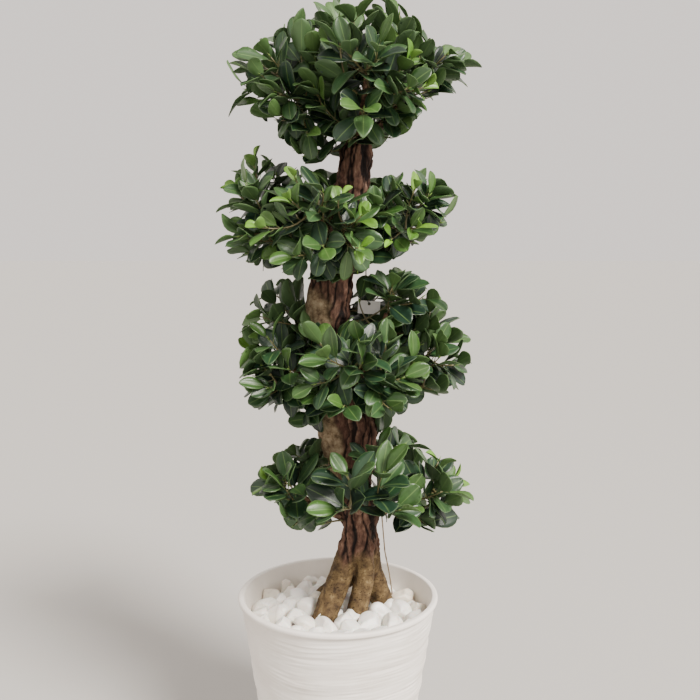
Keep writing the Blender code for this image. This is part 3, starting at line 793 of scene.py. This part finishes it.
class Foliage:
    """Collects the vertices, faces and per-vertex numbers of one spray."""

    def __init__(self):
        self.vertices = []
        self.faces = []
        self.numbers = {"leaf_u": [], "leaf_v": [], "leaf_tone": [], "leaf_age": [],
                        "leaf_under": [], "leaf_stem": [], "leaf_dry": []}
        self.count = 0

    def add(self, vertices, faces, **numbers):
        self.vertices.append(vertices)
        self.faces += [tuple(i + self.count for i in face) for face in faces]
        for key, store in self.numbers.items():
            store.append(np.broadcast_to(numbers.get(key, 0.0), len(vertices)))
        self.count += len(vertices)

    def piece(self, name, *replaced):
        made = add_piece(name, np.concatenate(self.vertices), self.faces, waxy_leaf, "leaf",
                         *replaced)
        for key, values in self.numbers.items():
            set_attribute(made, key, np.concatenate(values))


def add_rod(foliage, points, radii, sides, **numbers):
    """A capped rod along points, for shoots, stalks and buds."""
    rings = []
    across = None
    last = len(points) - 1
    for index, point in enumerate(points):
        tangent = (points[min(index + 1, last)] - points[max(index - 1, 0)]).normalized()
        if across is None:
            across = tangent.orthogonal().normalized()
        across = (across - tangent * across.dot(tangent)).normalized()
        beside = tangent.cross(across)
        for side in range(sides):
            angle = 2.0 * math.pi * side / sides
            spoke = across * math.cos(angle) + beside * math.sin(angle)
            rings.append(point + spoke * radii[index])
    faces = [tuple(reversed(range(sides)))]
    for index in range(last):
        for side in range(sides):
            after = (side + 1) % sides
            low = index * sides
            faces.append((low + side, low + after, low + sides + after, low + sides + side))
    faces.append(tuple(last * sides + side for side in range(sides)))
    foliage.add(np.array(rings), faces, **numbers)


def blade_points(root, direction, normal, length, width, shape, fold, droop, twist):
    """Both skins of one blade in place."""
    side = normal.cross(direction).normalized()
    u = blade_shares[:, 0]
    v = blade_shares[:, 1]
    half = blade_widths[shape] * 0.5 * width
    turn = twist * u
    lift = fold * np.abs(v) ** 1.5 * half - droop * length * u * u
    lift = lift + 0.035 * width * np.sin(8.0 * u + 3.0 * v + 20.0 * twist) * np.abs(v)
    flat = v * half
    sideways = flat * np.cos(turn)
    lift = lift + flat * np.sin(turn)
    spine = np.outer(length * (u - 0.3 * droop * u * u), np.array(direction))
    middle = (np.array(root) + spine + np.outer(sideways, np.array(side))
              + np.outer(lift, np.array(normal)))
    thick = np.array(normal) * 0.5 * leaf_thickness
    return np.concatenate([middle + thick, middle - thick])


probe_columns = (0, blade_columns // 2, blade_columns - 1)
probe_rows = (1, 3, 5, 7, 8)
probe_index = [r * blade_columns + c for r in probe_rows for c in probe_columns]
probe_faces = [(3 * r + c, 3 * r + c + 1, 3 * r + c + 4, 3 * r + c + 3)
               for r in range(len(probe_rows) - 1) for c in range(2)]


# Each tier is clipped to a pad: its crest and its foot, seen from the front, as places
# across and heights above the rim, from its left end to its right end
pads = {
    "crown": (((-0.160, 0.775), (-0.150, 0.790), (-0.066, 0.838), (-0.030, 0.868),
               (0.080, 0.868), (0.109, 0.845), (0.131, 0.815), (0.214, 0.782)),
              ((-0.160, 0.700), (-0.107, 0.700), (-0.054, 0.634), (0.030, 0.634),
               (0.060, 0.660), (0.100, 0.680), (0.139, 0.722), (0.214, 0.745))),
    "upper": (((-0.190, 0.600), (-0.146, 0.640), (-0.115, 0.672), (-0.080, 0.640),
               (0.000, 0.625), (0.070, 0.620), (0.133, 0.634), (0.176, 0.590)),
              ((-0.190, 0.530), (-0.130, 0.487), (-0.060, 0.468), (0.000, 0.463),
               (0.069, 0.490), (0.133, 0.530), (0.176, 0.560))),
    "middle": (((-0.146, 0.400), (-0.120, 0.455), (-0.095, 0.478), (-0.050, 0.478),
                (-0.030, 0.440), (0.018, 0.438), (0.030, 0.480), (0.105, 0.494),
                (0.130, 0.470), (0.200, 0.400)),
               ((-0.146, 0.290), (-0.078, 0.262), (-0.060, 0.240), (0.060, 0.240),
                (0.114, 0.285), (0.200, 0.315))),
    "low": (((-0.134, 0.180), (-0.126, 0.195), (-0.060, 0.235), (0.000, 0.242),
             (0.090, 0.258), (0.137, 0.225), (0.204, 0.190)),
            ((-0.134, 0.150), (-0.104, 0.140), (-0.080, 0.092), (0.000, 0.085),
             (0.108, 0.085), (0.183, 0.098), (0.204, 0.140))),
}
pad_depth = 0.176
# Boxes kept bare, where the trunk and the tag show: from corner to corner, above the rim
tag_low, tag_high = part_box("plant_tag")
bare_boxes = (
    ((-0.011, -0.20, 0.600), (0.060, -0.01, 0.648)),
    ((-0.034, -0.20, 0.418), (0.018, -0.01, 0.456)),
    ((-0.016, -0.20, 0.252), (0.052, -0.01, 0.290)),
    ((-0.024, -0.20, -0.05), (0.074, -0.03, 0.150)),
    ((tag_low.x - 0.002, -0.20, tag_low.z - rim_height + 0.001),
     (tag_high.x + 0.002, tag_high.y, tag_high.z - rim_height + 0.006)),
)


def in_pad(tier, points):
    """Whether points lie in their tier's pad and clear of the bare boxes."""
    x, y, z = points[:, 0], points[:, 1], points[:, 2] - rim_height
    near = camera_setback / (camera_setback + y)
    seen_x = camera_sideways + (x - camera_sideways) * near
    seen_z = camera_above_rim + (z - camera_above_rim) * near
    crest, foot = [np.array(line) for line in pads[tier]]
    if (seen_x < crest[0, 0]).any() or (seen_x > crest[-1, 0]).any():
        return False
    if (np.abs(y) > pad_depth).any():
        return False
    if (seen_z > np.interp(seen_x, crest[:, 0], crest[:, 1])).any():
        return False
    if (seen_z < np.interp(seen_x, foot[:, 0], foot[:, 1])).any():
        return False
    for low, high in bare_boxes:
        inside = ((x > low[0]) & (x < high[0]) & (y > low[1]) & (y < high[1])
                  & (z > low[2]) & (z < high[2]))
        if inside.any():
            return False
    return True


class Standing:
    """What already stands, so that each new leaf can be kept clear of it."""

    def __init__(self, solids):
        self.solids = solids
        self.middles = np.zeros((0, 3))
        self.blades = []
        self.tier = "low"

    def free(self, blade):
        if not in_pad(self.tier, blade[probe_index]):
            return None
        tree = BVHTree.FromPolygons([tuple(blade[i]) for i in probe_index], probe_faces)
        middle = blade[probe_index].mean(axis=0)
        if any(tree.overlap(solid) for solid in self.solids):
            return None
        near = np.nonzero(np.linalg.norm(self.middles - middle, axis=1) < leaf_length)[0]
        if any(tree.overlap(self.blades[i]) for i in near):
            return None
        return tree, middle

    def keep(self, tree, middle):
        self.blades.append(tree)
        self.middles = np.vstack([self.middles, middle])


def grow_leaf(foliage, node, tangent, angle, size, age, lean, dry=0.0):
    """One leaf on its stalk, turned until it is clear of what stands already."""
    rng = spray_rng
    frame_side = tangent.orthogonal().normalized()
    beside = tangent.cross(frame_side)
    for attempt in range(leaf_tries):
        loose = 0.08 + 0.05 * attempt
        turn = angle + rng.uniform(-loose, loose) * 2.0
        outward = frame_side * math.cos(turn) + beside * math.sin(turn)
        pitch = lean + rng.uniform(-loose, loose)
        direction = outward * math.sin(pitch) + tangent * math.cos(pitch)
        direction = (direction + Vector((0, 0, 0.06 - 0.9 * dry))).normalized()
        away = Vector((node.x, node.y, 0.0)) * 4.0
        face = Vector((0, 0, 1.0)) + away + tangent * 0.9 - outward * 0.2
        face += Vector([rng.uniform(-loose, loose) * 1.6 for _ in range(3)])
        normal = (face - direction * face.dot(direction)).normalized()
        length = leaf_length * size * rng.uniform(0.78, 1.16)
        width = leaf_width * size * rng.uniform(0.84, 1.12) * (1.0 - 0.35 * dry)
        stalk = stalk_length * min(1.0, size + 0.1) * rng.uniform(0.8, 1.2)
        root = node + direction * stalk
        droop = rng.uniform(0.0, 0.26) * (1.0 - 0.5 * age) + 0.3 * dry
        fold = rng.uniform(-0.05, 0.40) + 0.5 * age + 0.9 * dry
        twist = rng.uniform(-0.4, 0.4) * (1.0 + 2.0 * dry)
        shape = rng.randrange(len(blade_shapes))
        blade = blade_points(root, direction, normal, length, width, shape, fold, droop,
                             twist)
        free = standing.free(blade)
        if free:
            standing.keep(*free)
            tone = rng.random()
            under = np.repeat([0.0, 1.0], len(blade_shares))
            foliage.add(blade, blade_faces, leaf_u=np.tile(blade_shares[:, 0], 2),
                        leaf_v=np.tile(blade_shares[:, 1], 2), leaf_tone=tone,
                        leaf_age=age, leaf_under=under, leaf_dry=dry)
            bend = node + direction * stalk * 0.5 - normal * 0.0005
            tip = root + direction * 0.004
            add_rod(foliage, [node, bend, tip], [0.0008, 0.0007, 0.0004], 5,
                    leaf_stem=0.6, leaf_tone=tone, leaf_age=age)
            return True
    return False


def bend_points(start, control, end, count):
    """Points along a quadratic curve."""
    points = []
    for step in range(count + 1):
        share = step / count
        rest = 1.0 - share
        points.append(start * rest * rest + control * 2.0 * rest * share + end * share * share)
    return points


def grow_shoot(foliage, points, size, young, bare):
    """Leaves in a spiral, then the shoot as far as its last leaf, with a pointed bud."""
    rng = spray_rng
    count = len(points)
    length = sum((b - a).length for a, b in zip(points, points[1:]))
    leaves = int(length * (1.0 - bare) / leaf_spacing) + 2
    angle = rng.uniform(0.0, 2.0 * math.pi)
    last = None
    for leaf in range(leaves):
        share = bare + (1.0 - bare) * leaf / max(leaves - 1, 1)
        reach = min(share * (count - 1), count - 1.001)
        index = int(reach)
        tangent = (points[index + 1] - points[index]).normalized()
        node = points[index].lerp(points[index + 1], reach - index)
        newest = max(0.0, share - 0.35) / 0.65
        age = newest ** 2 if young else 0.22 * newest ** 3
        leaf_size = size * (1.0 - (0.55 if young else 0.20) * newest ** 1.3)
        lean = math.radians(78.0 - 48.0 * share)
        angle += golden_turn
        if grow_leaf(foliage, node, tangent, angle, leaf_size, age, lean):
            last = index, node
    if last is None:
        return
    index, node = last
    stem = points[:index + 1] + [node]
    if (stem[-1] - stem[-2]).length < 0.0005:
        stem.pop(-2)
    radii = [shoot_radius * size + (shoot_end_radius - shoot_radius * size) * i / (count - 1)
             for i in range(len(stem))]
    add_rod(foliage, stem, radii, 7, leaf_stem=1.0, leaf_tone=rng.random())
    bud = stem[-1] + (stem[-1] - stem[-2]).normalized() * 0.009
    middle_bud = stem[-1].lerp(bud, 0.4)
    add_rod(foliage, [stem[-1], middle_bud, bud], [0.0008, 0.0011, 0.0002], 6,
            leaf_stem=0.25, leaf_age=0.9, leaf_tone=rng.random())


def grow_bent_shoot(foliage, start, outward, aim, reach, size, young, bare):
    """A shoot that leaves its wood outward and bends to its aim, if its end is in the pad."""
    end = start + aim * (reach + 0.012)
    if in_pad(standing.tier, np.array([end])):
        twig = bend_points(start, start + outward * reach * 0.45, start + aim * reach, 6)
        grow_shoot(foliage, twig, size, young, bare)
        return True
    return False


def grow_side_shoot(foliage, start, tangent, angle, reach, rise, size, young, bare):
    """A shorter shoot that leaves a shoot or a limb sideways and bends up."""
    across = tangent.cross(Vector((0, 0, 1.0)))
    if across.length < 0.2:
        across = tangent.orthogonal()
    across.normalize()
    above = across.cross(tangent)
    outward = across * math.cos(angle) + above * math.sin(angle)
    aim = (outward * 0.85 + tangent * 0.5 + Vector((0, 0, rise))).normalized()
    return grow_bent_shoot(foliage, start, outward, aim, reach, size, young, bare)


def try_side_shoot(foliage, start, tangent, angle, reach, spread, rise, size, young, bare):
    """A side shoot at an ever looser angle and shorter, until one ends in the pad."""
    for attempt in range(shoot_tries):
        loose = 0.4 + 0.25 * attempt
        turned = angle + spray_rng.uniform(-loose, loose)
        tried = reach * spray_rng.uniform(*spread) * (1.0 - 0.05 * attempt)
        if grow_side_shoot(foliage, start, tangent, turned, tried, rise, size, young, bare):
            break


def spray_line(spray, limb):
    """Where a packed spray leaves its limb and how far and where it reaches."""
    mesh = cad[spray].data
    tree = surface_tree(limb)
    near = sorted(mesh.vertices, key=lambda v: tree.find_nearest(v.co)[3])[:4]
    start = sum((v.co for v in near), Vector()) / 4.0
    centre = sum((v.co for v in mesh.vertices), Vector()) / len(mesh.vertices)
    return start, start + (centre - start) * 1.38


def limb_line(limb):
    """Middle points of a limb, from the trunk outwards."""
    corners = [v.co for v in cad[limb].data.vertices]
    inner = min(corners, key=lambda c: math.hypot(c.x - 0.01, c.y))
    outer = max(corners, key=lambda c: (c - inner).length)
    axis = (outer - inner).normalized()
    reach = (outer - inner).length
    middles = []
    for part in range(5):
        centre = reach * (0.2 + 0.18 * part)
        held = [c for c in corners if abs((c - inner).dot(axis) - centre) < 0.14 * reach]
        if held:
            middles.append(sum(held, Vector()) / len(held))
    return middles


# Waxy blade, dark green or lime when new, with a pale midrib, side veins and underside;
# the shoots, stalks and buds read the same material by their own numbers
waxy_leaf, shader = new_material(
    "waxy_ficus_leaf", IOR=1.48, Specular_IOR_Level=0.5, Coat_Weight=0.08, Coat_Roughness=0.30)
read = {name: add_node(waxy_leaf, "ShaderNodeAttribute",
                       {"attribute_name": name}).outputs["Fac"]
        for name in ("leaf_u", "leaf_v", "leaf_tone", "leaf_age", "leaf_under", "leaf_stem",
                     "leaf_dry")}
place = add_node(waxy_leaf, "ShaderNodeTexCoord").outputs["Object"]
mature = add_node(
    waxy_leaf, "ShaderNodeValToRGB",
    {"stops": ((0.0, "#14271e"), (0.40, "#1d3727"), (0.75, "#2a492c"), (1.0, "#3c5a34"))},
    {"Fac": read["leaf_tone"]})
fresh = add_node(
    waxy_leaf, "ShaderNodeValToRGB", {"stops": ((0.0, "#5a9124"), (1.0, "#86b838"))},
    {"Fac": read["leaf_tone"]})
blotch_mm = 9.0
blotch = add_node(
    waxy_leaf, "ShaderNodeTexNoise", {"Scale": 1000.0 / blotch_mm, "Detail": 3.0},
    {"Vector": place})
aged = add_node(
    waxy_leaf, "ShaderNodeMix", {"data_type": "RGBA"},
    {0: read["leaf_age"], 6: mature.outputs["Color"], 7: fresh.outputs["Color"]})
shade = add_node(
    waxy_leaf, "ShaderNodeValToRGB", {"stops": ((0.30, "#c4c4c4"), (0.70, "#ffffff"))},
    {"Fac": blotch.outputs["Fac"]})
mottled = add_node(
    waxy_leaf, "ShaderNodeMix", {"data_type": "RGBA", "blend_type": "MULTIPLY", 0: 0.6},
    {6: aged.outputs[2], 7: shade.outputs["Color"]})
off_rib = add_node(waxy_leaf, "ShaderNodeMath", {"operation": "ABSOLUTE"}, {0: read["leaf_v"]})
rib = add_node(
    waxy_leaf, "ShaderNodeValToRGB", {"stops": ((0.02, 0.5), (0.08, 0.0))},
    {"Fac": off_rib.outputs["Value"]})
edge = add_node(
    waxy_leaf, "ShaderNodeValToRGB", {"stops": ((0.90, 0.0), (1.0, 0.4))},
    {"Fac": off_rib.outputs["Value"]})
lines = add_node(
    waxy_leaf, "ShaderNodeMath", {"operation": "MAXIMUM"},
    {0: rib.outputs["Color"], 1: edge.outputs["Color"]})
ribbed = add_node(
    waxy_leaf, "ShaderNodeMix", {"data_type": "RGBA", 7: srgb("#6d8a4c")},
    {0: lines.outputs["Value"], 6: mottled.outputs[2]})
half_under = add_node(
    waxy_leaf, "ShaderNodeMath", {"operation": "MULTIPLY", 1: 0.5}, {0: read["leaf_under"]})
under = add_node(
    waxy_leaf, "ShaderNodeMix", {"data_type": "RGBA", 7: srgb("#4d6a3c")},
    {0: half_under.outputs["Value"], 6: ribbed.outputs[2]})
stemmed = add_node(
    waxy_leaf, "ShaderNodeMix", {"data_type": "RGBA", 7: srgb("#666040")},
    {0: read["leaf_stem"], 6: under.outputs[2]})
dried = add_node(
    waxy_leaf, "ShaderNodeMix", {"data_type": "RGBA", 7: srgb("#8a6a48")},
    {0: read["leaf_dry"], 6: stemmed.outputs[2]})
join(dried.outputs[2], shader.inputs["Base Color"])
gloss = add_node(
    waxy_leaf, "ShaderNodeMapRange",
    {"From Min": 0.0, "From Max": 1.0, "To Min": 0.40, "To Max": 0.60},
    {"Value": read["leaf_under"]})
join(gloss.outputs["Result"], shader.inputs["Roughness"])
slant = add_node(
    waxy_leaf, "ShaderNodeMath", {"operation": "MULTIPLY_ADD", 1: -0.45},
    {0: off_rib.outputs["Value"], 2: read["leaf_u"]})
side_veins = 11.0
wave = add_node(
    waxy_leaf, "ShaderNodeMath", {"operation": "MULTIPLY", 1: side_veins * 2.0 * math.pi},
    {0: slant.outputs["Value"]})
veins = add_node(waxy_leaf, "ShaderNodeMath", {"operation": "SINE"}, {0: wave.outputs["Value"]})
height = add_node(
    waxy_leaf, "ShaderNodeMath", {"operation": "MULTIPLY_ADD", 1: 0.12},
    {0: veins.outputs["Value"], 2: rib.outputs["Color"]})
bump = add_node(
    waxy_leaf, "ShaderNodeBump", {"Strength": 0.35, "Distance": 0.0005, "invert": True},
    {"Height": height.outputs["Value"]})
join(bump.outputs["Normal"], shader.inputs["Normal"])


limb_shoots = ((0, 0.0, 0.05), (1, 3.1, 0.0), (2, -1.4, -0.1), (2, 0.6, 0.3),
               (3, 2.4, 0.2), (3, -2.2, -0.2), (4, 1.2, 0.3))
wood_trees = [surface_tree(name) for name in ["trunk", "aerial_root", "plant_tag"] + limb_names]
standing = Standing(wood_trees)
side_angles = (0.3, 2.9, -1.3, 1.4)
tier_fill = {"crown": 0.86, "upper": 0.96, "middle": 0.90, "low": 0.45}
tier_leaf = {"crown": 1.0, "upper": 0.97, "middle": 1.0, "low": 1.18}
crown_uprights = ((2, 0.3, 1.5), (3, 2.9, 1.5), (4, -0.6, 1.5))
shoot_tries = 8
spray_shoot_reach = 0.056
limb_shoot_reach = 0.062
upright_reach = 0.110
spray_steps = 9
spray_names = sorted(name for name in cad if "_spray_" in name)
spray_rng = random.Random(spray_seed)
for spray_name in spray_names:
    limb_name = spray_name.split("_spray_")[0] + "_limb"
    start, tip = spray_line(spray_name, limb_name)
    reach = (tip - start).length
    standing.tier = spray_name.split("_")[0]
    young = spray_name in young_sprays
    foliage = Foliage()
    lift = Vector((0, 0, 0.10 * reach))
    points = bend_points(start, start.lerp(tip, 0.5) - lift, tip, spray_steps)
    leaf_size = tier_leaf[standing.tier]
    grow_shoot(foliage, points, leaf_size, young, 0.12)
    for side_shoot in range(side_shoots):
        if spray_rng.random() > tier_fill[standing.tier]:
            continue
        share = 0.15 + 0.17 * side_shoot
        index = int(share * spray_steps)
        tangent = (points[index + 1] - points[index]).normalized()
        try_side_shoot(foliage, points[index], tangent, side_angles[side_shoot],
                       spray_shoot_reach, (0.8, 1.2), 0.25, 0.94 * leaf_size,
                       young and side_shoot > 1, 0.2)
    if spray_name == "middle_right_spray_2":
        grow_leaf(foliage, points[-1], Vector((0.2, -0.2, -1.0)).normalized(), 0.0, 0.45, 0.0,
                  0.3, dry=1.0)
    if limb_name == "middle_left_limb":
        for turn in (0.4, 2.2, 4.1):
            grow_leaf(foliage, points[-2], Vector((-0.45, -0.15, -1.0)).normalized(), turn,
                      1.15, 0.45, 0.3)
    foliage.piece(spray_name + "_leaves", spray_name)

for limb_name in limb_names:
    foliage = Foliage()
    middles = limb_line(limb_name)
    standing.tier = limb_name.split("_")[0]
    leaf_size = tier_leaf[standing.tier]
    for part, angle, rise in limb_shoots:
        if spray_rng.random() > tier_fill[standing.tier]:
            continue
        index = min(part, len(middles) - 2)
        tangent = (middles[index + 1] - middles[index]).normalized()
        try_side_shoot(foliage, middles[index], tangent, angle, limb_shoot_reach,
                       (0.8, 1.25), rise, 0.97 * leaf_size, False, 0.3)
    if standing.tier == "crown":
        for part, angle, rise in crown_uprights:
            index = min(part, len(middles) - 2)
            tangent = (middles[index + 1] - middles[index]).normalized()
            for attempt in range(shoot_tries):
                turned = angle + spray_rng.uniform(-0.4, 0.4)
                side_reach = upright_reach * (1.0 - 0.08 * attempt)
                if grow_side_shoot(foliage, middles[index], tangent, turned, side_reach,
                                   rise, 1.0, False, 0.3):
                    break
    if limb_name == "crown_right_limb":
        grow_leaf(foliage, middles[2], Vector((0.3, -0.2, -1.0)).normalized(), 0.0, 0.9, 0.0,
                  0.3, dry=1.0)
    foliage.piece(limb_name + "_inner_leaves")

# Short shoots straight from the trunk: its side in degrees from the right, the height above
# the rim, how far the shoot reaches and how much it rises or hangs
trunk_shoots = {
    "crown": ((-115, 0.672, 0.045, -0.3), (-65, 0.672, 0.045, -0.3),
              (-90, 0.684, 0.050, 0.3), (-150, 0.655, 0.065, -0.2), (170, 0.655, 0.070, -0.1),
              (-20, 0.672, 0.050, -0.1), (60, 0.660, 0.060, 0.0), (110, 0.660, 0.060, 0.0)),
    "upper": ((-70, 0.505, 0.050, -0.5), (-120, 0.500, 0.055, -0.5), (170, 0.500, 0.065, -0.3),
              (20, 0.500, 0.050, -0.3), (100, 0.500, 0.060, -0.3)),
    "middle": ((178, 0.420, 0.060, 0.5), (150, 0.430, 0.070, 0.4), (200, 0.405, 0.075, 0.2),
               (2, 0.425, 0.065, 0.7), (25, 0.425, 0.060, 0.5), (-12, 0.410, 0.075, 0.5),
               (70, 0.425, 0.060, 0.5), (110, 0.425, 0.060, 0.5),
               (-125, 0.296, 0.045, -0.6), (-165, 0.290, 0.050, -0.4),
               (-30, 0.296, 0.050, -0.6), (90, 0.290, 0.050, -0.5)),
    "low": ((100, 0.215, 0.065, 0.3), (-10, 0.215, 0.060, 0.5), (-165, 0.200, 0.060, 0.3),
            (60, 0.220, 0.065, 0.4), (-80, 0.196, 0.050, 0.9), (-172, 0.115, 0.060, -0.3)),
}
trunk_tree = wood_trees[0]


def trunk_middle(height):
    """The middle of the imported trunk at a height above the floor."""
    corners = sorted((v.co for v in cad["trunk"].data.vertices),
                     key=lambda corner: abs(corner.z - height))[:24]
    middle = sum(corners, Vector()) / len(corners)
    return Vector((middle.x, middle.y, height))


for tier, shoots in trunk_shoots.items():
    foliage = Foliage()
    standing.tier = tier
    for degrees, height, side_reach, rise in shoots:
        for attempt in range(shoot_tries):
            loose = 6.0 * attempt
            side = math.radians(degrees + spray_rng.uniform(-loose, loose))
            outward = Vector((math.cos(side), math.sin(side), 0.0))
            far = trunk_middle(rim_height + height) + outward * 0.2
            start = trunk_tree.ray_cast(far, -outward)[0]
            aim = (outward + Vector((0, 0, rise))).normalized()
            tried = side_reach * (1.0 - 0.05 * attempt)
            if grow_bent_shoot(foliage, start, outward, aim, tried, 0.97, False, 0.15):
                break
    foliage.piece(tier + "_trunk_leaves")


# ---------------------------------------------------------------- Plant tag and tie
# A blank white plastic label on a long loop of coated wire. The loop hangs from a limb at
# the right of the second tier, so that the label lies just right of the trunk.

# Blank white polystyrene, faintly scuffed
label, shader = new_material("white_label_polystyrene", Base_Color=srgb("#f4f3ef"), IOR=1.55)
place = add_node(label, "ShaderNodeTexCoord").outputs["Object"]
scuff_mm = 5.0
scuff = add_node(
    label, "ShaderNodeTexNoise", {"Scale": 1000.0 / scuff_mm, "Detail": 3.0}, {"Vector": place})
handled = add_node(
    label, "ShaderNodeMapRange",
    {"From Min": 0.3, "From Max": 0.7, "To Min": 0.34, "To Max": 0.5},
    {"Value": scuff.outputs["Fac"]})
join(handled.outputs["Result"], shader.inputs["Roughness"])
bump = add_node(
    label, "ShaderNodeBump", {"Strength": 0.15, "Distance": 0.0003},
    {"Height": scuff.outputs["Fac"]})
join(bump.outputs["Normal"], shader.inputs["Normal"])

# PVC-coated garden wire, dark green, its skin slightly uneven from the drawing die
coated_wire, _, _ = tinted("coated_garden_wire", 3.0, 2.0,
                           ((0.3, "#26302a"), (0.7, "#3c4a3c")), IOR=1.5, Roughness=0.45)
coat("plant_tag", label)
coat("tag_tie", coated_wire)
